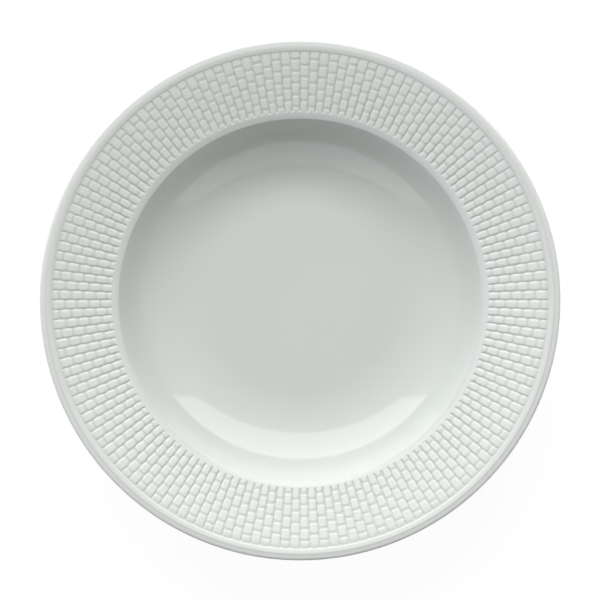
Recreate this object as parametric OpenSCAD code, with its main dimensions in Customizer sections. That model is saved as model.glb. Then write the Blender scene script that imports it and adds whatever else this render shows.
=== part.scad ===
// Rimmed soup plate: a pressed porcelain body under two coats of clear glaze.
// It stands on the bare ring of its foot at z = 0, and the Z axis is the axis of the plate.

/* [Plate] */
// Diameter over the lip
plate_d = 250; // [232:1:290]
// Diameter across the shoulder, where the well begins
well_d = 175; // [164:1:186]
// Depth of the well below its shoulder
well_depth = 26; // [22:0.5:30]
// Slope of the well's wall
wall_angle = 57; // [52:1:62]
// Radius that blends the well's wall into its floor
well_blend_r = 47; // [40:1:50]
// Slope of the rim
rim_angle = 16; // [7:0.5:18]

/* [Thickness] */
// Thickness of the floor and of the well's wall
wall_t = 4.6; // [3.8:0.1:5.6]
// Thickness of the rim at its lip
lip_t = 3.4; // [3:0.1:4.2]
// Thickness of the glaze
coat_t = 0.25; // [0.15:0.05:0.35]

/* [Foot] */
// Outer diameter of the foot where it stands
foot_d = 126; // [118:1:130]
// Width of the foot where it stands
foot_w = 3.4; // [2.8:0.1:4.6]
// Depth of the recess inside the foot
recess_h = 2.8; // [2:0.1:3.6]
// Slope of the foot's sides
foot_side_angle = 68; // [60:1:78]
// Height up to which the glaze is wiped off the foot
wipe_h = 0.8; // [0.7:0.1:1.1]

/* [Lip] */
// Width of the round bead along the edge
lip_bead_w = 2.2; // [1.8:0.1:3]
// Width of the groove inside the bead
lip_groove_w = 1.2; // [0.8:0.1:1.3]
// Depth of that groove below the line of the rim
lip_groove_h = 0.35; // [0.3:0.05:0.5]
// How far the bead's inner edge lies below the line of the rim
lip_drop = 0.4; // [0.2:0.05:0.5]
// Width of the plain band between the groove and the weave's border
lip_band_w = 1.4; // [1.2:0.1:2.4]

/* [Upright weave] */
// Number of upright strands round the rim
strand_count = 156; // [120:4:168]
// Height of the strands above the valleys between them
relief_h = 0.5; // [0.45:0.05:0.6]
// Width of those valleys at the well
valley_w = 0.8; // [0.6:0.1:1.1]
// Width of the floor of the border, the round valley that the others run out into
border_w = 1.2; // [0.8:0.1:1.6]
// Depth of the border
border_h = 0.3; // [0.2:0.05:0.4]
// Width of the plain ledge between the shoulder and the weave
ledge_w = 2.8; // [1.6:0.1:4]
// Slope of that ledge
ledge_angle = 26; // [19:1:32]

/* [Hidden] */

// Fillet radii of the glazed section
shoulder_r = 1.6;
lip_top_r = 1.3;
lip_under_r = 0.8;
under_shoulder_r = 9;
foot_root_r = 2.4;
foot_edge_r = 0.6;

// Least length of straight wall between the blend and the shoulder
wall_run = 5.2;

// Largest gap between an arc and its chords, and how far a cut runs past what it cuts
chord_gap = 0.03;
overrun = 0.5;

plate_r = plate_d / 2;
well_r = well_d / 2;
foot_r = foot_d / 2;
foot_in_r = foot_r - foot_w;
floor_z = recess_h + wall_t;
shoulder_z = floor_z + well_depth;

// The weave lies between the ledge and the border, and the border lies inside the lip's plain band
weave_in_r = well_r + ledge_w;
border_out_r = plate_r - lip_bead_w - lip_groove_w - lip_band_w;
border_in_r = border_out_r - border_w - 2 * border_h;

// Height of the rim's top line at a radius, and a point that lies a depth below that line
function rim_z(r) = shoulder_z + ledge_w * tan(ledge_angle) + (r - weave_in_r) * tan(rim_angle);
function rim_point(r, depth = 0) = [r, rim_z(r) - depth];

// Where a line through p at slope a meets a line through q at slope b
function meet(p, a, q, b) =
    p + [cos(a), sin(a)] * ((q.x - p.x) * sin(b) - (q.y - p.y) * cos(b)) / sin(b - a);

// Fillets of the shoulder, which ends on the ledge, and of the bead, which ends at its groove
// and above the fillet under the lip
shoulder_fillet_r = min(shoulder_r, ledge_w / tan((wall_angle - ledge_angle) / 2));
bead_z = rim_z(plate_r - lip_bead_w) - lip_drop;
bead_fillet_r = min(lip_top_r, lip_bead_w, bead_z - rim_z(plate_r) + lip_t - lip_under_r);

// Corner between floor and wall, and the arc that blends them as far as the wall's length allows
well_corner = [well_r - well_depth / tan(wall_angle), floor_z];
blend_r = min(well_blend_r, (well_depth / sin(wall_angle) - wall_run) / tan(wall_angle / 2));
blend_centre = well_corner + blend_r * [-tan(wall_angle / 2), 1];

// The belly under the well runs a wall's thickness outside that arc, down to just beside the foot
belly_r = blend_r + wall_t;
belly_angle = asin((foot_r + 2 * foot_root_r - blend_centre.x) / belly_r);
belly_point = blend_centre + belly_r * [sin(belly_angle), -cos(belly_angle)];

// The foot's outer side is steeper on a wide foot, where the belly's point is high above it
foot_out_angle = max(foot_side_angle, atan2(belly_point.y, 1.5 * foot_root_r));

// Points and slopes of the lines under the wall and under the rim
under_wall_point = [well_r + wall_t * sin(wall_angle), shoulder_z - wall_t * cos(wall_angle)];
under_rim_point = rim_point(well_r, wall_t / cos(rim_angle));
under_lip_point = rim_point(plate_r, lip_t);
under_rim_angle = atan2(under_lip_point.y - under_rim_point.y, plate_r - well_r);

// Corner under the shoulder, and its fillet, which ends where the belly's arc begins
under_corner = meet(under_rim_point, under_rim_angle, under_wall_point, wall_angle);
belly_end = blend_centre + belly_r * [sin(wall_angle), -cos(wall_angle)];
under_fillet_r = min(
    under_shoulder_r,
    norm(under_corner - belly_end) / tan((wall_angle - under_rim_angle) / 2)
);

// Corners of the glazed section, each with its fillet radius, from the middle of the floor
// out to the lip, back under the plate, round the foot and in to the middle of the recess
corners = [
    [[0, floor_z], 0],
    [well_corner, blend_r],
    [[well_r, shoulder_z], shoulder_fillet_r],
    [rim_point(weave_in_r), 0],
    [rim_point(border_in_r), 0],
    [rim_point(border_in_r + border_h, border_h), 0],
    [rim_point(border_out_r - border_h, border_h), 0],
    [rim_point(border_out_r), 0],
    [rim_point(border_out_r + lip_band_w), 0],
    [rim_point(border_out_r + lip_band_w + lip_groove_w / 2, lip_groove_h), 0],
    [[plate_r - lip_bead_w, bead_z], 0],
    [[plate_r, bead_z], bead_fillet_r],
    [under_lip_point, lip_under_r],
    [under_corner, under_fillet_r],
    [meet(under_wall_point, wall_angle, belly_point, belly_angle), belly_r],
    [meet(belly_point, belly_angle, [foot_r, 0], foot_out_angle), foot_root_r],
    [[foot_r, 0], foot_edge_r],
    [[foot_in_r, 0], foot_edge_r],
    [[foot_in_r - recess_h / tan(foot_side_angle), recess_h], foot_root_r],
    [[0, recess_h], 0]
];

// A corner by its index, which runs round the section, and the direction of the edge after it
function corner(i) = corners[(i + len(corners)) % len(corners)];
function edge_dir(i) =
    let (v = corner(i + 1)[0] - corner(i)[0])
    v / norm(v);

// The coat on the edge after a corner: the axis and the standing face take none
function edge_coat(i, coat) =
    let (p = corner(i)[0], q = corner(i + 1)[0])
    (p.x == 0 && q.x == 0) || (p.y == 0 && q.y == 0) ? 0 : coat;

// Points along the fillet of a corner, drawn in by a coat, or one point where it is sharp.
// The section runs clockwise, so it is drawn in to the right of each edge.
function fillet(i, coat) =
    let (
        u = edge_dir(i - 1),
        v = edge_dir(i),
        coat_u = edge_coat(i - 1, coat),
        coat_v = edge_coat(i, coat),
        turn = atan2(cross(u, v), u * v),
        p = corner(i)[0] + (coat_v * u - coat_u * v) / cross(u, v),
        r = corner(i)[1] + sign(turn) * min(coat_u, coat_v),
        to_centre = sign(turn) * [-u.y, u.x],
        centre = p - u * r * tan(abs(turn) / 2) + to_centre * r,
        count = ceil(abs(turn) / (2 * acos(1 - chord_gap / r)))
    )
    corner(i)[1] == 0
        ? [p]
        : [for (k = [0:count])
            let (a = abs(turn) * k / count)
            centre + r * (u * sin(a) - to_centre * cos(a))];

// Half the plate's section, drawn in by a coat
module section(coat = 0) {
    polygon([for (i = [0:len(corners) - 1]) each fillet(i, coat)]);
}

// The valleys between the strands, widened by a coat, from within the ledge to the middle of the border
module valleys(coat = 0) {
    turn = (valley_w + 2 * coat) / weave_in_r * 180 / PI;
    in_r = weave_in_r - relief_h - coat;
    out_r = (border_in_r + border_out_r) / 2 + coat;
    for (strand = [0:strand_count - 1])
        rotate(strand * 360 / strand_count - turn / 2)
            rotate_extrude(angle = turn)
                polygon([
                    rim_point(in_r, relief_h + coat),
                    rim_point(in_r, -overrun),
                    rim_point(out_r, -overrun),
                    rim_point(out_r, relief_h + coat)
                ]);
}

// Half the section of what lies inside the middle of the foot's wall, under the middle of the floor
module recess_zone() {
    square([foot_r - foot_w / 2, recess_h + wall_t / 2]);
}

// Half the section of what is wiped clean of glaze
module wiped_zone() {
    translate([0, -overrun]) square([plate_r, wipe_h + overrun]);
}

// The pressed and fired body, with its standing ring bare
module porcelain_body() {
    color("#f3f1ea") difference() {
        rotate_extrude() section(coat_t);
        valleys(coat_t);
    }
}

// The coat over the face, round the lip and down the back to the foot
module outer_glaze() {
    color("#dfe4e0") difference() {
        rotate_extrude() difference() {
            section();
            wiped_zone();
            recess_zone();
        }
        porcelain_body();
        valleys();
    }
}

// The coat inside the foot, cut off from the outer one by the bare ring
module recess_glaze() {
    color("#dfe4e0") rotate_extrude() intersection() {
        difference() {
            section();
            section(coat_t);
            wiped_zone();
        }
        recess_zone();
    }
}

porcelain_body();
outer_glaze();
recess_glaze();
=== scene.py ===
import math
import bpy
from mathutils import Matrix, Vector


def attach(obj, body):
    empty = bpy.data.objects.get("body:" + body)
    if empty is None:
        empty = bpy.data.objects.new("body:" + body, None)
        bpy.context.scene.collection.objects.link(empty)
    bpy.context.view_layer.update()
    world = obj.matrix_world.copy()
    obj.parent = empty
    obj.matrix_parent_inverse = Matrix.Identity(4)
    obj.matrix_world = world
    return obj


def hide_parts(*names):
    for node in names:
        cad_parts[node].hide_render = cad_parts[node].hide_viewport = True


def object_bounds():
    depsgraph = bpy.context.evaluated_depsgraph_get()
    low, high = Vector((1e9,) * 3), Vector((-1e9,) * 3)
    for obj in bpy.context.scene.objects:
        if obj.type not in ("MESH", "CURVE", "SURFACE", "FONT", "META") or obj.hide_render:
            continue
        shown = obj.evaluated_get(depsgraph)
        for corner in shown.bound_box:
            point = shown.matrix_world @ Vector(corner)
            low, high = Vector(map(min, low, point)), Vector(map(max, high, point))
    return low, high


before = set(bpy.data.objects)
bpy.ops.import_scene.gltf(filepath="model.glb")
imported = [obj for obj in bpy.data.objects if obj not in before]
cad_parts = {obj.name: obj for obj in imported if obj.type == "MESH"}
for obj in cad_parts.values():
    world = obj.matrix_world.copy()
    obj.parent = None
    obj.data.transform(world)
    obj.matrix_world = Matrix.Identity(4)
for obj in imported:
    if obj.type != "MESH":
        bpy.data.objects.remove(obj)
cadLow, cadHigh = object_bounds()
print("frame:", ", ".join(sorted(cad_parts)))

mm = 0.001
tiny = 1e-6                    # anything smaller counts as nothing

# The plate's section, in millimetres and degrees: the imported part's sizes, and how the glaze softens them
plate = {
    "wellR": 87.5,             # the well begins here, at its shoulder
    "wellDepth": 26.0,
    "wallAngle": 57.0,         # slope of the well's wall
    "blendR": 47.0,            # between the well's floor and its wall
    "rimAngle": 16.0,          # slope of the rim
    "wallT": 4.6,              # floor and wall
    "lipT": 3.4,               # rim at its lip
    "coatT": 0.25,             # glaze
    "footR": 63.0,
    "footW": 3.4,
    "footAngle": 68.0,         # slope of the foot's sides
    "recessH": 2.8,            # recess inside the foot
    "wipeH": 0.8,              # the glaze is wiped off below this height
    "beadW": 2.2,              # round bead along the lip
    "grooveW": 1.2,            # groove inside the bead
    "grooveH": 0.35,
    "grooveFill": 0.17,        # how far the glaze has levelled the groove
    "lipDrop": 0.4,            # how far the bead's inner edge lies below the line of the rim
    "bandW": 1.4,              # plain band between the groove and the weave's border
    "borderW": 1.8,            # round valley that ends the strands of the weave
    "ledgeW": 2.8,             # plain ledge between shoulder and weave
    "ledgeAngle": 26.0,        # its slope
    "ledgeEase": 0.45,         # how far to both sides the ledge eases into the rim
    "fillets": {"shoulder": 1.6, "grooveEdge": 1.4, "groove": 0.6, "lipTop": 1.3, "lipUnder": 0.8,
                "underShoulder": 9.0, "root": 2.4, "foot": 0.6},
    "columns": 520,            # round the plate
    "chordGap": 0.003,         # largest gap between an arc and its chords
    "leastSteps": 4,           # fewest chords on a fillet
    "creaseAngle": 50.0,       # an edge sharper than this isn't shaded smooth
}

plateR = cadHigh.x / mm
coat = plate["coatT"]
leastFillet = coat / 4
floorZ = plate["recessH"] + plate["wallT"]
shoulderZ = floorZ + plate["wellDepth"]
bandR = plateR - plate["beadW"] - plate["grooveW"]
grooveMidR = bandR + plate["grooveW"] / 2
borderMidR = bandR - plate["bandW"] - plate["borderW"] / 2
weaveInR = plate["wellR"] + plate["ledgeW"]
footInR = plate["footR"] - plate["footW"]


def tanDeg(angle):
    return math.tan(math.radians(angle))


# A point at a depth below the straight line of the rim
def rimPoint(r, depth=0.0):
    ledgeRise = plate["ledgeW"] * tanDeg(plate["ledgeAngle"])
    return Vector((r, shoulderZ + ledgeRise + (r - weaveInR) * tanDeg(plate["rimAngle"]) - depth))


# The same below the plain face, which follows the ledge and eases into the rim
def facePoint(r, depth=0.0):
    ease = plate["ledgeEase"]
    steeper = tanDeg(plate["ledgeAngle"]) - tanDeg(plate["rimAngle"])
    inside = weaveInR - r
    if abs(inside) < ease:
        fall = (ease + inside) ** 2 / (4 * ease)
    else:
        fall = max(inside, 0)
    return rimPoint(r, depth + steeper * fall)


# Where a line through p at slope a meets a line through q at slope b
def meet(p, a, q, b):
    a, b = math.radians(a), math.radians(b)
    along = ((q.x - p.x) * math.sin(b) - (q.y - p.y) * math.cos(b)) / math.sin(b - a)
    return p + along * Vector((math.cos(a), math.sin(a)))


# The weave's own sizes, in millimetres
weave = {
    "strands": 156,            # upright strands round the rim
    "rods": 10,                # steps from rod to rod; each rod passes over every second strand
    "relief": 0.5,             # strands above the valleys between them
    "sideNear": 0.1,           # a strand's long side rises from here to sideFar from the valley's middle
    "sideFar": 1.2,
    "gapDepth": 0.2,           # dip of a strand where a rod passes over it
    "endNear": 0.25,           # the strand rises again from here to endFar from the rod's middle
    "endFar": 1.3,
    "endTaper": 0.55,          # how much a strand draws in on each side at its end
    "taperNear": 0.1,          # but not under the rod: this begins here, and is full at taperFar
    "taperFar": 0.4,
    "roundness": 2.2,          # power of the curve that a strand's sides and ends fall away on
    "rodHalf": 0.4,            # half the width of a rod
    "rodRise": 0.06,           # how far its back stands up in the dip
    "crown": 0.06,             # how far a strand swells in its middle
    "fade": 1.25,              # over this width the valleys begin beside the ledge
    "outerLoss": 0.35,         # share of their depth that they have lost when they reach the border
    "fadeOut": 0.9,            # over this width they run out into the border
    "borderH": 0.25,           # depth of the border
    "borderFar": 0.9,          # the face rises from its middle over this width outwards
    "borderEase": 0.25,        # and inwards at this share of that steepness
    "endPoolAndShade": 0.4,            # how dark the dips at the strands' ends are, as a share of the pooled colour: pooled glaze and painted shade
    "poolAndShadePower": 1.2,          # how much more pooled glaze and painted shade lie low down in the valleys
    "crownThinAndHighlight": 0.2,          # how much lighter the tops of the strands are: glaze run thin and a painted highlight
    "topNear": 0.85,           # which begin at this share of the relief, and are full at topFar
    "topFar": 1.1,
    "innerLand": 0.9,          # plain land carried inside the weave, and outside its border
    "outerLand": 0.3,
    "creaseAngle": 60.0,
    # The mesh's columns across a strand, as shares of its width: close together in the valleys
    "columnShares": (0.0, 0.04, 0.09, 0.15, 0.22, 0.32, 0.42, 0.5, 0.58, 0.68, 0.78, 0.85, 0.91, 0.96),
    # Its loops beside a rod's middle, on the ledge and beside the border's middle
    "rodLoops": (0.0, 0.13, 0.26, 0.39, 0.55, 0.75, 1.0, 1.25),
    "ledgeLoops": (0.5, 0.3, 0.15),
    "borderLoops": (-0.7, -0.5, -0.33, -0.18, 0.0, 0.15, 0.3, 0.5, 0.75),
}
rodPitch = (borderMidR - plate["borderW"] / 2 - weaveInR) / weave["rods"]
weaveFloor = weave["relief"] + coat
landInR = weaveInR - weave["innerLand"]
landOutR = bandR - plate["bandW"] + weave["outerLand"]


# The corners of the glazed section, clockwise from the middle of the floor: name, point, fillet radius
def glazedOutline():
    fillets = plate["fillets"]
    wallT, wellR = plate["wallT"], plate["wellR"]
    wallA, footA = plate["wallAngle"], plate["footAngle"]
    grooveDepth = plate["grooveH"] - plate["grooveFill"]
    beadZ = rimPoint(bandR + plate["grooveW"], plate["lipDrop"]).y
    wellCorner = Vector((wellR - plate["wellDepth"] / tanDeg(wallA), floorZ))
    blendCentre = wellCorner + plate["blendR"] * Vector((-tanDeg(wallA / 2), 1))
    bellyR = plate["blendR"] + wallT
    bellySin = (plate["footR"] + 2 * fillets["root"] - blendCentre.x) / bellyR
    bellyA = math.degrees(math.asin(bellySin))
    bellyPoint = blendCentre + bellyR * Vector((bellySin, -math.sqrt(1 - bellySin ** 2)))
    wallRad, rimRad = math.radians(wallA), math.radians(plate["rimAngle"])
    underWall = Vector((wellR + wallT * math.sin(wallRad), shoulderZ - wallT * math.cos(wallRad)))
    underRim = rimPoint(wellR, wallT / math.cos(rimRad))
    underLip = rimPoint(plateR, plate["lipT"])
    underRimA = math.degrees(math.atan2(underLip.y - underRim.y, plateR - wellR))
    footOut, footIn = Vector((plate["footR"], 0)), Vector((footInR, 0))
    lean = 1 / tanDeg(footA)
    return [
        ("floorMiddle", Vector((0, floorZ)), 0),
        ("wellCorner", wellCorner, plate["blendR"]),
        ("shoulder", Vector((wellR, shoulderZ)), fillets["shoulder"]),
        ("landIn", facePoint(landInR), 0),
        ("landOut", facePoint(landOutR), 0),
        ("grooveIn", rimPoint(bandR), fillets["grooveEdge"]),
        ("groove", rimPoint(grooveMidR, grooveDepth), fillets["groove"]),
        ("grooveOut", Vector((bandR + plate["grooveW"], beadZ)), fillets["grooveEdge"]),
        ("lipTop", Vector((plateR, beadZ)), fillets["lipTop"]),
        ("lipUnder", underLip, fillets["lipUnder"]),
        ("underShoulder", meet(underRim, underRimA, underWall, wallA), fillets["underShoulder"]),
        ("belly", meet(underWall, wallA, bellyPoint, bellyA), bellyR),
        ("footRoot", meet(bellyPoint, bellyA, footOut, footA), fillets["root"]),
        ("wipedOutside", footOut + plate["wipeH"] * Vector((lean, 1)), 0),
        ("footOutside", footOut, fillets["foot"]),
        ("footInside", footIn, fillets["foot"]),
        ("wipedInside", footIn + plate["wipeH"] * Vector((-lean, 1)), 0),
        ("recessCorner", footIn + plate["recessH"] * Vector((-lean, 1)), fillets["root"]),
        ("recessMiddle", Vector((0, plate["recessH"])), 0),
    ]


outline = glazedOutline()
cornerNames = [name for name, point, fillet in outline]


# Points along one corner's fillet, drawn in by a coat on the edge before it and on the edge after it
def cornerPoints(index, coatBefore, coatAfter):
    count = len(outline)
    point, fillet = outline[index][1], outline[index][2]
    u = (point - outline[(index - 1) % count][1]).normalized()
    v = (outline[(index + 1) % count][1] - point).normalized()
    cross = u.x * v.y - u.y * v.x
    if abs(cross) < tiny:
        return [point + coatAfter * Vector((v.y, -v.x))]
    turn = math.atan2(cross, u.dot(v))
    point = point + (coatAfter * u - coatBefore * v) / cross
    if fillet == 0:
        return [point]
    side = 1 if turn > 0 else -1
    radius = max(fillet + side * min(coatBefore, coatAfter), leastFillet)
    inward = side * Vector((-u.y, u.x))
    centre = point - u * radius * math.tan(abs(turn) / 2) + inward * radius
    chords = abs(turn) / (2 * math.acos(1 - plate["chordGap"] / radius))
    steps = max(plate["leastSteps"], math.ceil(chords))
    angles = [abs(turn) * k / steps for k in range(steps + 1)]
    return [centre + radius * (u * math.sin(a) - inward * math.cos(a)) for a in angles]


# The section from one named corner to another, drawn in by a depth except at the axis and where it stands
def stretch(first, last, depth=0.0):
    points = []
    for index in range(cornerNames.index(first), cornerNames.index(last) + 1):
        name = cornerNames[index]
        before = 0 if name in ("footInside", "floorMiddle") else depth
        after = 0 if name in ("footOutside", "recessMiddle") else depth
        points += cornerPoints(index, before, after)
    return points


# A closed solid turned from a section that runs clockwise, in millimetres, with a column at each angle
def turnSolid(name, section, angles):
    points, faces, loops = [], [], []
    for p in section:
        if p.x < tiny:
            loops.append([len(points)] * len(angles))
            points.append((0, 0, p.y * mm))
            continue
        loops.append(list(range(len(points), len(points) + len(angles))))
        points += [(p.x * math.cos(a) * mm, p.x * math.sin(a) * mm, p.y * mm) for a in angles]
    for index, here in enumerate(loops):
        there = loops[(index + 1) % len(loops)]
        if here[0] == here[-1] and there[0] == there[-1]:
            continue
        for k in range(len(angles)):
            n = (k + 1) % len(angles)
            corners = [here[k], there[k], there[n], here[n]]
            faces.append([c for i, c in enumerate(corners) if c != corners[i - 1]])
    mesh = bpy.data.meshes.new(name)
    mesh.from_pydata(points, [], faces)
    mesh.validate()
    mesh.polygons.foreach_set("use_smooth", [True] * len(mesh.polygons))
    mesh.set_sharp_from_angle(angle=math.radians(plate["creaseAngle"]))
    piece = bpy.data.objects.new(name, mesh)
    bpy.context.scene.collection.objects.link(piece)
    return piece


# Adds a node with its settings, and links or sets its inputs
def addNode(tree, kind, settings=None, inputs=None):
    node = tree.nodes.new(kind)
    for name, value in (settings or {}).items():
        setattr(node, name, value)
    for name, value in (inputs or {}).items():
        if isinstance(value, bpy.types.NodeSocket):
            tree.links.new(value, node.inputs[name])
        else:
            node.inputs[name].default_value = value
    return node


# An sRGB hex colour in the linear values that shaders take
def linear(hexColour):
    parts = [int(hexColour[i:i + 2], 16) / 255 for i in (1, 3, 5)]
    return [c / 12.92 if c <= 0.04045 else ((c + 0.055) / 1.055) ** 2.4 for c in parts] + [1]


def newMaterial(name):
    material = bpy.data.materials.new(name)
    material.use_nodes = True
    return material, material.node_tree, material.node_tree.nodes["Principled BSDF"]


# Glazed porcelain, dipped and fired: its clear, faintly green glaze gives a hard even gloss, looks darker
# where it has pooled and where shade is painted into the hollows, and lets the white body through where it
# has run thin, which also paints a highlight on the tops of the strands
glaze = {
    "colour": "#dcdfde",
    "cloud": "#d9dcdb",        # faint unevenness of the coat
    "thinAndPaintedHighlight": "#eef0ec",         # where it has run thin over an edge; on the strands' tops it is also a painted highlight
    "pooledAndPaintedShade": "#c2cac5",       # where it lies thickest, in the bottoms of the relief; also the painted shade there, in the well and in the groove
    "wellPaintedShade": 0.45,          # painted shade over the well, as a share of the pooled colour
    "wellEdgeMm": 0.8,         # the well's painted shade fades in over this height below the shoulder
    "ledgeDarkening": 0.3,          # how much darker the ledge is at the shoulder, as a share of the pooled colour
    "groovePoolAndShade": 0.5,         # darker in the groove beside the lip's bead: pooled glaze and painted shade
    "grooveReachMm": 0.9,      # the groove's darkening ends this far from its middle
    "cloudMm": 45.0,           # size of the clouds
    "cloudDetail": 2.0,
    "waveMm": 9.0,             # slow ripple that the glaze sets with
    "waveHeightMm": 0.004,
    "waveDetail": 1.0,
    "roughness": 0.06,
    "ior": 1.5,
}


def glazeMaterial():
    material, tree, shader = newMaterial("glazedPorcelain")
    place = addNode(tree, "ShaderNodeTexCoord").outputs["Object"]
    cloud = addNode(tree, "ShaderNodeTexNoise", None,
                    {"Vector": place, "Scale": 1 / (glaze["cloudMm"] * mm), "Detail": glaze["cloudDetail"]})
    poolAndPaintedLight = addNode(tree, "ShaderNodeAttribute", {"attribute_name": "poolAndPaintedLight"})
    even = addNode(tree, "ShaderNodeMix", {"data_type": "RGBA"},
                   {"Factor": cloud.outputs["Fac"], 6: linear(glaze["colour"]), 7: linear(glaze["cloud"])})
    # below 0 the share lightens the colour (thin glaze and a painted highlight), above 0 it darkens it
    # (pooled glaze and painted shade)
    less = addNode(tree, "ShaderNodeMath", {"operation": "MULTIPLY"}, {0: poolAndPaintedLight.outputs["Fac"], 1: -1.0})
    thinnedAndHighlighted = addNode(tree, "ShaderNodeMix", {"data_type": "RGBA"},
                      {"Factor": less.outputs[0], 6: even.outputs[2], 7: linear(glaze["thinAndPaintedHighlight"])})
    colour = addNode(tree, "ShaderNodeMix", {"data_type": "RGBA"},
                     {"Factor": poolAndPaintedLight.outputs["Fac"], 6: thinnedAndHighlighted.outputs[2], 7: linear(glaze["pooledAndPaintedShade"])})
    tree.links.new(colour.outputs[2], shader.inputs["Base Color"])
    wave = addNode(tree, "ShaderNodeTexNoise", None,
                   {"Vector": place, "Scale": 1 / (glaze["waveMm"] * mm), "Detail": glaze["waveDetail"]})
    bump = addNode(tree, "ShaderNodeBump", None,
                   {"Height": wave.outputs["Fac"], "Distance": glaze["waveHeightMm"] * mm, "Strength": 1.0})
    tree.links.new(bump.outputs["Normal"], shader.inputs["Normal"])
    shader.inputs["Roughness"].default_value = glaze["roughness"]
    shader.inputs["IOR"].default_value = glaze["ior"]
    return material


# Bare fired porcelain, ground fine where it stands: matt, warm white, with a fine grit
bisque = {
    "colour": "#e4dfd2",
    "worn": "#c9c1b2",         # where it has rubbed on tables
    "smudgeMm": 6.0,           # size of the worn patches
    "smudgeDetail": 4.0,
    "gritMm": 0.25,            # coarser than the real grit, so that it shows
    "gritDepthMm": 0.05,
    "gritDetail": 2.0,
    "gritStrength": 0.6,
    "roughness": 0.8,
}


def bisqueMaterial():
    material, tree, shader = newMaterial("barePorcelain")
    place = addNode(tree, "ShaderNodeTexCoord").outputs["Object"]
    smudge = addNode(tree, "ShaderNodeTexNoise", None,
                     {"Vector": place, "Scale": 1 / (bisque["smudgeMm"] * mm),
                      "Detail": bisque["smudgeDetail"]})
    colour = addNode(tree, "ShaderNodeMix", {"data_type": "RGBA"},
                     {"Factor": smudge.outputs["Fac"],
                      6: linear(bisque["colour"]), 7: linear(bisque["worn"])})
    tree.links.new(colour.outputs[2], shader.inputs["Base Color"])
    grit = addNode(tree, "ShaderNodeTexNoise", None,
                   {"Vector": place, "Scale": 1 / (bisque["gritMm"] * mm), "Detail": bisque["gritDetail"]})
    bump = addNode(tree, "ShaderNodeBump", None,
                   {"Height": grit.outputs["Fac"], "Distance": bisque["gritDepthMm"] * mm,
                    "Strength": bisque["gritStrength"]})
    tree.links.new(bump.outputs["Normal"], shader.inputs["Normal"])
    shader.inputs["Roughness"].default_value = bisque["roughness"]
    return material


glazed = glazeMaterial()
bare = bisqueMaterial()
print("materials made")

roundPlate = [2 * math.pi * k / plate["columns"] for k in range(plate["columns"])]


# A coat of glaze between two named corners, closed by its inner face
def coatSolid(name, first, last):
    return turnSolid(name, stretch(first, last) + stretch(first, last, coat)[::-1], roundPlate)


# Rises smoothly from 0 at one value to 1 at another
def smoothStep(value, start, end):
    share = min(1, max(0, (value - start) / (end - start)))
    return share * share * (3 - 2 * share)


# How dark the well's face and the lip's are, from 0 to 1 towards the pooled colour: painted shade over the
# well, darker towards the shoulder on the ledge, and pooled glaze with painted shade in the lip's groove
def wellPaintedShade(r, z):
    inWell = smoothStep(z, shoulderZ, shoulderZ - glaze["wellEdgeMm"])
    onLedge = smoothStep(r, weaveInR, plate["wellR"])
    return glaze["wellPaintedShade"] * inWell + glaze["ledgeDarkening"] * onLedge * (1 - inWell)


def lipGroovePoolAndShade(r, z):
    if z < rimPoint(r).y - plate["lipT"] / 2:
        return 0
    return glaze["groovePoolAndShade"] * (1 - smoothStep(abs(r - grooveMidR), 0, glaze["grooveReachMm"]))


# Stores on each point how far its colour goes towards the pooled one, which carries painted shade
def storePoolAndPaintedLight(piece, poolAndShadeAt):
    shares = [poolAndShadeAt(v.co.xy.length / mm, v.co.z / mm) for v in piece.data.vertices]
    piece.data.attributes.new("poolAndPaintedLight", "FLOAT", "POINT").data.foreach_set("value", shares)


underWeave = [facePoint(r, weaveFloor) for r in (landInR, weaveInR, landOutR)]
bodySection = stretch("floorMiddle", "landIn", coat) + underWeave + stretch("landOut", "recessMiddle", coat)
body = turnSolid("porcelain_body", bodySection, roundPlate)
wellGlaze = coatSolid("well_glaze", "floorMiddle", "landIn")
backGlaze = coatSolid("lip_and_back_glaze", "landOut", "wipedOutside")
# painted shade over the well and darker towards the shoulder, pooled glaze with painted shade in the lip's
# groove
storePoolAndPaintedLight(wellGlaze, wellPaintedShade)
storePoolAndPaintedLight(backGlaze, lipGroovePoolAndShade)
recessGlaze = coatSolid("recess_glaze", "wipedInside", "recessMiddle")
print("turned pieces made")

weaveInputs = {
    "Strands": float(weave["strands"]),
    "Rods": float(weave["rods"]),
    "Rod Pitch": rodPitch,
    "Weave Start": weaveInR,
    "Fade": weave["fade"],
    "Outer Loss": weave["outerLoss"],
    "Fade Out": weave["fadeOut"],
    "Border Middle": borderMidR,
    "Border Depth": weave["borderH"],
    "Border Far": weave["borderFar"],
    "Border Ease": weave["borderEase"],
    "Relief": weave["relief"],
    "Crown": weave["crown"],
    "Roundness": weave["roundness"],
    "Side Near": weave["sideNear"],
    "Side Far": weave["sideFar"],
    "End Near": weave["endNear"],
    "End Far": weave["endFar"],
    "End Taper": weave["endTaper"],
    "Taper Near": weave["taperNear"],
    "Taper Far": weave["taperFar"],
    "Gap Depth": weave["gapDepth"],
    "Rod Half": weave["rodHalf"],
    "Rod Rise": weave["rodRise"],
    "End Pool And Shade": weave["endPoolAndShade"],
    "Pool And Shade Power": weave["poolAndShadePower"],
    "Crown Thin And Highlight": weave["crownThinAndHighlight"],
    "Top Near": weave["topNear"],
    "Top Far": weave["topFar"],
}
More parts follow.
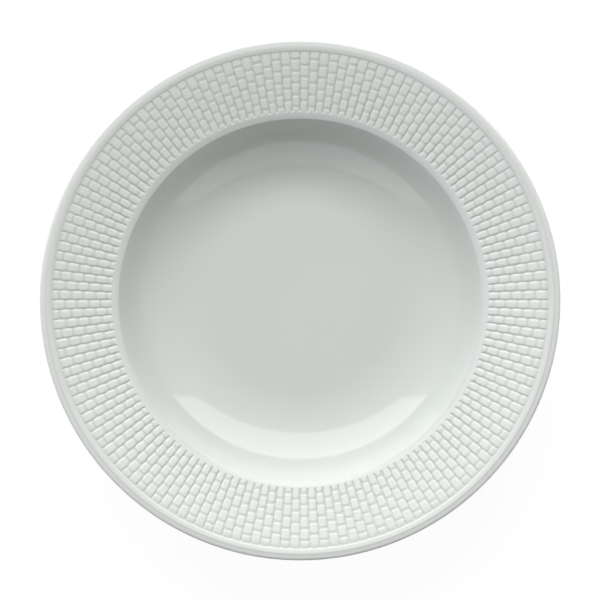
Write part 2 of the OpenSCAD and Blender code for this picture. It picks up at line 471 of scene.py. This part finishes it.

# The weave's height over the plain rim in millimetres, and its pooled glaze with painted shade and painted
# highlight, step by step:
# each step's name, its operation and what it works on
weaveSteps = (
    ("yy", "MULTIPLY", "y", "y"),
    ("rr", "MULTIPLY_ADD", "x", "x", "yy"),
    ("rMetres", "SQRT", "rr"),
    ("r", "DIVIDE", "rMetres", mm),
    ("angle", "ARCTAN2", "y", "x"),
    ("strandAngle", "DIVIDE", 2 * math.pi, "Strands"),
    ("strandPitch", "MULTIPLY", "r", "strandAngle"),
    ("around", "DIVIDE", "angle", "strandAngle"),              # counts the strands round the rim
    ("strand", "FLOOR", "around"),
    ("sideShare", "PINGPONG", "around", 0.5),
    ("toValley", "MULTIPLY", "sideShare", "strandPitch"),      # to the middle of the nearest valley
    ("outwards", "SUBTRACT", "r", "Weave Start"),
    ("along", "DIVIDE", "outwards", "Rod Pitch"),              # counts the rods from the ledge outwards
    ("alongStrand", "SUBTRACT", "along", "strand"),            # each strand starts one rod further on
    ("cell", "DIVIDE", "alongStrand", 2.0),
    ("endHalf", "PINGPONG", "cell", 0.5),
    ("endShare", "MULTIPLY", "endHalf", 2.0),                  # 0 under a rod, 1 over one
    ("toEnd", "MULTIPLY", "endShare", "Rod Pitch"),
    ("pastFirst", "GREATER_THAN", "along", 0.5),
    ("lastRod", "SUBTRACT", "Rods", 0.5),
    ("beforeLast", "LESS_THAN", "along", "lastRod"),
    ("rodHere", "MULTIPLY", "pastFirst", "beforeLast"),
    ("begun", "DIVIDE", "outwards", "Fade"),
    ("fadeIn", "SMOOTHSTEP", "begun", 0.0, 1.0),
    ("before", "SUBTRACT", "Border Middle", "r"),
    ("left", "DIVIDE", "before", "Fade Out"),
    ("fadeOut", "SMOOTHSTEP", "left", 0.0, 1.0),
    ("woven", "MULTIPLY", "fadeIn", "fadeOut"),
    ("endRun", "LINEAR", "toEnd", "End Near", "End Far"),
    ("endLeft", "SUBTRACT", 1.0, "endRun"),
    ("endLeftHere", "MULTIPLY", "endLeft", "rodHere"),
    ("endFall", "POWER", "endLeftHere", "Roundness"),
    ("endRise", "SUBTRACT", 1.0, "endFall"),
    ("offRod", "SMOOTHSTEP", "toEnd", "Taper Near", "Taper Far"),
    ("taper", "MULTIPLY", "endFall", "End Taper"),
    ("taperHere", "MULTIPLY", "taper", "offRod"),
    ("toSide", "SUBTRACT", "toValley", "taperHere"),           # a strand narrows towards its end
    ("sideRun", "LINEAR", "toSide", "Side Near", "Side Far"),
    ("sideLeft", "SUBTRACT", 1.0, "sideRun"),
    ("sideFull", "POWER", "sideLeft", "Roundness"),
    ("outShare", "DIVIDE", "along", "Rods"),
    ("loss", "MULTIPLY", "outShare", "Outer Loss"),
    ("lossLeft", "SUBTRACT", 1.0, "loss"),                     # the valleys grow shallow outwards
    ("sideHere", "MULTIPLY", "sideFull", "lossLeft"),
    ("sideFall", "MULTIPLY", "sideHere", "woven"),
    ("sideRise", "SUBTRACT", 1.0, "sideFall"),
    ("backShare", "DIVIDE", "toEnd", "Rod Half"),
    ("backClose", "MINIMUM", "backShare", 1.0),
    ("backSquare", "MULTIPLY", "backClose", "backClose"),
    ("backRest", "SUBTRACT", 1.0, "backSquare"),
    ("back", "SQRT", "backRest"),                              # the round back of the rod over a strand
    ("backHere", "MULTIPLY", "back", "rodHere"),
    ("crownHere", "MULTIPLY", "Crown", "woven"),
    ("swing", "ADD", "Gap Depth", "crownHere"),                # from a strand's end up to its middle
    ("low", "SUBTRACT", "Relief", "Gap Depth"),
    ("strandLevel", "MULTIPLY_ADD", "swing", "endRise", "low"),
    ("level", "MULTIPLY_ADD", "backHere", "Rod Rise", "strandLevel"),
    ("ridge", "MULTIPLY", "level", "sideRise"),                # above the floor of the valleys
    ("eased", "MULTIPLY", "before", "Border Ease"),            # the weave falls to its border slowly
    ("past", "MULTIPLY", "before", -1.0),
    ("toBorder", "MAXIMUM", "eased", "past"),
    ("borderRun", "LINEAR", "toBorder", "Side Near", "Border Far"),
    ("borderLeft", "SUBTRACT", 1.0, "borderRun"),
    ("borderFall", "POWER", "borderLeft", "Roundness"),
    ("borderDrop", "MULTIPLY", "borderFall", "Border Depth"),
    ("risen", "SUBTRACT", "ridge", "borderDrop"),
    ("height", "SUBTRACT", "risen", "Relief"),
    ("heightMetres", "MULTIPLY", "height", mm),
    ("lift", "MULTIPLY", "heightMetres", "onFace"),
    ("depth", "SUBTRACT", "Relief", "risen"),
    ("depthShare", "DIVIDE", "depth", "Relief"),
    ("depthOnly", "MAXIMUM", "depthShare", 0.0),
    ("gatheredAndShaded", "POWER", "depthOnly", "Pool And Shade Power"),          # pooled glaze and painted shade gather low down
    # painted shade and pooled glaze in the dips at the strands' ends
    ("endGatheredAndShaded", "MULTIPLY", "endFall", "End Pool And Shade"),
    ("poolingAndShade", "MAXIMUM", "gatheredAndShaded", "endGatheredAndShaded"),
    # the strands' tops lighter: glaze run thin and a painted highlight
    ("topShare", "DIVIDE", "risen", "Relief"),
    ("top", "SMOOTHSTEP", "topShare", "Top Near", "Top Far"),
    ("topHere", "MULTIPLY", "top", "woven"),
    ("thinAndPaintedHighlight", "MULTIPLY", "topHere", "Crown Thin And Highlight"),
    ("coatingAndPaintedLight", "SUBTRACT", "poolingAndShade", "thinAndPaintedHighlight"),
    ("poolAndPaintedLight", "MULTIPLY", "coatingAndPaintedLight", "onFace"),
)


# Sinks and swells the top face of a ring into a part of the weave
def weaveTree():
    tree = bpy.data.node_groups.new("uprightWeave", "GeometryNodeTree")
    tree.interface.new_socket("Geometry", in_out="OUTPUT", socket_type="NodeSocketGeometry")
    tree.interface.new_socket("Geometry", in_out="INPUT", socket_type="NodeSocketGeometry")
    for name in weaveInputs:
        tree.interface.new_socket(name, in_out="INPUT", socket_type="NodeSocketFloat")
    tree.interface.new_socket("Glaze", in_out="INPUT", socket_type="NodeSocketMaterial")
    given = addNode(tree, "NodeGroupInput").outputs
    place = addNode(tree, "GeometryNodeInputPosition").outputs[0]
    axes = addNode(tree, "ShaderNodeSeparateXYZ", None, {0: place}).outputs
    face = addNode(tree, "GeometryNodeInputNamedAttribute", {"data_type": "FLOAT"}, {"Name": "face"})
    known = {"x": axes["X"], "y": axes["Y"], "onFace": face.outputs["Attribute"]}
    known.update({name: given[name] for name in weaveInputs})
    for name, operation, *worksOn in weaveSteps:
        mapped = operation in ("LINEAR", "SMOOTHSTEP")
        node = addNode(tree, "ShaderNodeMapRange" if mapped else "ShaderNodeMath",
                       {"interpolation_type" if mapped else "operation": operation},
                       {index: known.get(value, value) for index, value in enumerate(worksOn)})
        known[name] = node.outputs[0]
    lift = addNode(tree, "ShaderNodeCombineXYZ", None, {"Z": known["lift"]})
    moved = addNode(tree, "GeometryNodeSetPosition", None,
                    {"Geometry": given["Geometry"], "Offset": lift.outputs[0]})
    # stores the share of pooled colour: painted shade in the hollows, and below 0 a painted highlight on the
    # tops
    stored = addNode(tree, "GeometryNodeStoreNamedAttribute", {"data_type": "FLOAT", "domain": "POINT"},
                     {"Geometry": moved.outputs[0], "Name": "poolAndPaintedLight", "Value": known["poolAndPaintedLight"]})
    real = addNode(tree, "GeometryNodeRealizeInstances", None, {"Geometry": stored.outputs[0]})
    done = addNode(tree, "GeometryNodeSetMaterial", None,
                   {"Geometry": real.outputs[0], "Material": given["Glaze"]})
    addNode(tree, "NodeGroupOutput", None, {"Geometry": done.outputs[0]})
    return tree


# Where the columns of a ring stand
def strandAngles():
    strandAngle = 2 * math.pi / weave["strands"]
    return [(strand + share) * strandAngle
            for strand in range(weave["strands"]) for share in weave["columnShares"]]


# Where its loops stand, over two steps from rod to rod
def rowRadii(row):
    loops = list(weave["rodLoops"])
    step = loops + [rodPitch / 2] + [rodPitch - o for o in reversed(loops)]
    start = weaveInR + 2 * row * rodPitch
    radii = [start + o for o in step] + [start + rodPitch + o for o in step[1:]]
    if row == 0:
        radii = [landInR] + [weaveInR - o for o in weave["ledgeLoops"]] + radii
    if row == weave["rods"] // 2 - 1:
        radii += [borderMidR + o for o in weave["borderLoops"]] + [landOutR]
    return radii


def rowPiece(row, tree):
    radii = rowRadii(row)
    top = [facePoint(r) for r in radii]
    ends = [radii[-1], radii[0]] if row > 0 else [radii[-1], weaveInR, radii[0]]
    under = [facePoint(r, weaveFloor) for r in ends]
    angles = strandAngles()
    piece = turnSolid(f"weave_glaze_{row + 1}", top + under, angles)
    onFace = [1.0] * (len(top) * len(angles)) + [0.0] * (len(under) * len(angles))
    piece.data.attributes.new("face", "FLOAT", "POINT").data.foreach_set("value", onFace)
    modifier = piece.modifiers.new("uprightWeave", "NODES")
    modifier.node_group = tree
    for socket in tree.interface.items_tree:
        if socket.in_out == "INPUT" and socket.name in weaveInputs:
            modifier[socket.identifier] = weaveInputs[socket.name]
        if socket.name == "Glaze":
            modifier[socket.identifier] = glazed
    graph = bpy.context.evaluated_depsgraph_get()
    result = piece.evaluated_get(graph)
    made = bpy.data.meshes.new_from_object(result, preserve_all_data_layers=True, depsgraph=graph)
    piece.modifiers.clear()
    piece.data = made
    made.name = piece.name
    made.set_sharp_from_angle(angle=math.radians(weave["creaseAngle"]))
    return piece


rowTree = weaveTree()
weaveRows = [rowPiece(row, rowTree) for row in range(weave["rods"] // 2)]
print("weave made:", sum(len(p.data.polygons) for p in weaveRows), "faces")

dressed = [(body, bare, "porcelain_body", "porcelain"), (recessGlaze, glazed, "recess_glaze", "recess_glaze")]
dressed += [(piece, glazed, "outer_glaze", "outer_glaze") for piece in (wellGlaze, backGlaze, *weaveRows)]
for piece, material, node, slotName in dressed:
    piece.data.materials.clear()
    piece.data.materials.append(material)
    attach(piece, "root")
    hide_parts(node)
print("pieces dressed:", len(dressed))

# The camera looks straight down, and the plate has the place and size in the frame that it has in the photo
view = {"lens": 270.0, "sensor": 36.0, "framePx": 600.0, "platePx": 521.2, "centrePx": (300.1, 300.1)}
camera = bpy.data.objects.new("camera", bpy.data.cameras.new("camera"))
camera.data.lens = view["lens"]
camera.data.sensor_width = view["sensor"]
pixel = 2 * cadHigh.x / view["platePx"]
cameraUp = pixel * view["framePx"] * view["lens"] / view["sensor"]
camera.location = (
    (view["framePx"] / 2 - view["centrePx"][0]) * pixel,
    (view["centrePx"][1] - view["framePx"] / 2) * pixel,
    rimPoint(plateR).y * mm + cameraUp,
)
bpy.context.scene.collection.objects.link(camera)
bpy.context.scene.camera = camera

# The lamps: radiance, width and height in metres, place, the point each faces, colour,
# and whether it lights the plate or is mirrored in its glaze. The first five light it softly, mostly
# from the top of the picture, and the last two are what the glaze mirrors.
lamps = {
    "highKey": (8.2, 3.2, 1.2, (-0.35, 2.0, 2.21), (0, 0, 0), "#fffefc", "lights"),
    "grazingKey": (7.2, 3.2, 0.5, (-0.52, 2.94, 0.31), (0, 0, 0), "#fffefd", "lights"),
    "backFill": (0.92, 3.2, 1.2, (0, -2.6, 1.5), (0, 0, 0), "#fbfdff", "lights"),
    "leftFill": (2.4, 3.2, 1.0, (-2.82, 0.4, 0.8), (0, 0, 0), "#fbfdff", "lights"),
    "rightFill": (1.6, 3.2, 1.2, (2.7, 0.3, 1.1), (0, 0, 0), "#fffcf2", "lights"),
    "mirroredKey": (2.5, 3.2, 1.5, (0, 1.33, 0.75), (0, 0, 1.13), "#fff4ea", "mirrored"),
    "mirroredCard": (0.95, 3.2, 1.2, (0, -1.3, 0.62), (0, 0, 1.0), "#f0faf8", "mirrored"),
}


def addLamp(name, radiance, width, height, place, faces, colour, use):
    light = bpy.data.lights.new(name, "AREA")
    light.shape = "RECTANGLE"
    light.size, light.size_y = width, height
    light.energy = radiance * math.pi * width * height
    light.color = linear(colour)[:3]
    lamp = bpy.data.objects.new(name, light)
    lamp.location = place
    lamp.rotation_euler = (Vector(place) - Vector(faces)).to_track_quat("Z", "Y").to_euler()
    lamp.visible_camera = False
    lamp.visible_diffuse = use == "lights"
    lamp.visible_glossy = use == "mirrored"
    bpy.context.scene.collection.objects.link(lamp)


for name, lamp in lamps.items():
    addLamp(name, *lamp)


# 1 for what is looked at, mirrored or seen through glass, and 0 for light that only bounces about
def seenShare(tree):
    path = addNode(tree, "ShaderNodeLightPath").outputs
    looked = addNode(tree, "ShaderNodeMath", {"operation": "MAXIMUM"},
                     {0: path["Is Camera Ray"], 1: path["Is Glossy Ray"]})
    either = addNode(tree, "ShaderNodeMath", {"operation": "MAXIMUM"},
                     {0: looked.outputs[0], 1: path["Is Transmission Ray"]})
    return either.outputs[0]


# The studio's walls: white where they are seen, and a plain level of light elsewhere
studio = {"colour": "#ffffff", "seen": 1.0, "light": 0.04}


def lightWorld():
    world = bpy.data.worlds.new("studio")
    bpy.context.scene.world = world
    world.use_nodes = True
    tree = world.node_tree
    tree.nodes.clear()
    seen = seenShare(tree)
    colour = linear(studio["colour"])
    plain = addNode(tree, "ShaderNodeBackground", None, {"Color": colour, "Strength": studio["light"]})
    white = addNode(tree, "ShaderNodeBackground", None, {"Color": colour, "Strength": studio["seen"]})
    mixed = addNode(tree, "ShaderNodeMixShader", None, {0: seen, 1: plain.outputs[0], 2: white.outputs[0]})
    addNode(tree, "ShaderNodeOutputWorld", None, {"Surface": mixed.outputs[0]})


lightWorld()

# A pale floor that looks white and keeps the plate's shadow. It is clear when seen from below, and it glows
# where the foot hides it from above, so that the recess and the standing ring can be seen.
floor = {
    "half": 3.0,               # half its side, in metres
    "dropMm": 0.2,             # how far it lies below the foot
    "colour": "#f4f4f2",
    "white": "#ffffff",
    "seen": 1.05,              # strength of its white where it is seen
    "shadow": 0.1,             # how much of the plate's shadow shows on that white
    "glow": 0.6,
    "glowInsetMm": 0.3,        # how far inside the foot's edge the glow ends
}


def addFloor():
    half, low = floor["half"], -floor["dropMm"] * mm
    corners = [(-half, -half, low), (half, -half, low), (half, half, low), (-half, half, low)]
    mesh = bpy.data.meshes.new("floor")
    mesh.from_pydata(corners, [], [(0, 1, 2, 3)])
    piece = bpy.data.objects.new("floor", mesh)
    bpy.context.scene.collection.objects.link(piece)
    material = bpy.data.materials.new("paleFloor")
    material.use_nodes = True
    tree = material.node_tree
    tree.nodes.clear()
    seen = seenShare(tree)
    white = linear(floor["white"])
    pale = addNode(tree, "ShaderNodeBsdfDiffuse", None, {"Color": linear(floor["colour"])}).outputs[0]
    bright = addNode(tree, "ShaderNodeEmission", None, {"Color": white, "Strength": floor["seen"]}).outputs[0]
    shown = addNode(tree, "ShaderNodeMixShader", None, {0: floor["shadow"], 1: bright, 2: pale}).outputs[0]
    front = addNode(tree, "ShaderNodeMixShader", None, {0: seen, 1: pale, 2: shown}).outputs[0]
    place = addNode(tree, "ShaderNodeTexCoord").outputs["Object"]
    radius = addNode(tree, "ShaderNodeVectorMath", {"operation": "LENGTH"}, {0: place}).outputs["Value"]
    glowR = (plate["footR"] - floor["glowInsetMm"]) * mm
    hidden = addNode(tree, "ShaderNodeMath", {"operation": "LESS_THAN"}, {0: radius, 1: glowR}).outputs[0]
    glow = addNode(tree, "ShaderNodeEmission", None, {"Color": white, "Strength": floor["glow"]}).outputs[0]
    top = addNode(tree, "ShaderNodeMixShader", None, {0: hidden, 1: front, 2: glow}).outputs[0]
    clear = addNode(tree, "ShaderNodeBsdfTransparent").outputs[0]
    back = addNode(tree, "ShaderNodeNewGeometry").outputs["Backfacing"]
    both = addNode(tree, "ShaderNodeMixShader", None, {0: back, 1: top, 2: clear}).outputs[0]
    addNode(tree, "ShaderNodeOutputMaterial", None, {"Surface": both})
    piece.data.materials.append(material)


addFloor()
bpy.context.scene.view_settings.view_transform = "Standard"
print("camera, lamps and floor made")
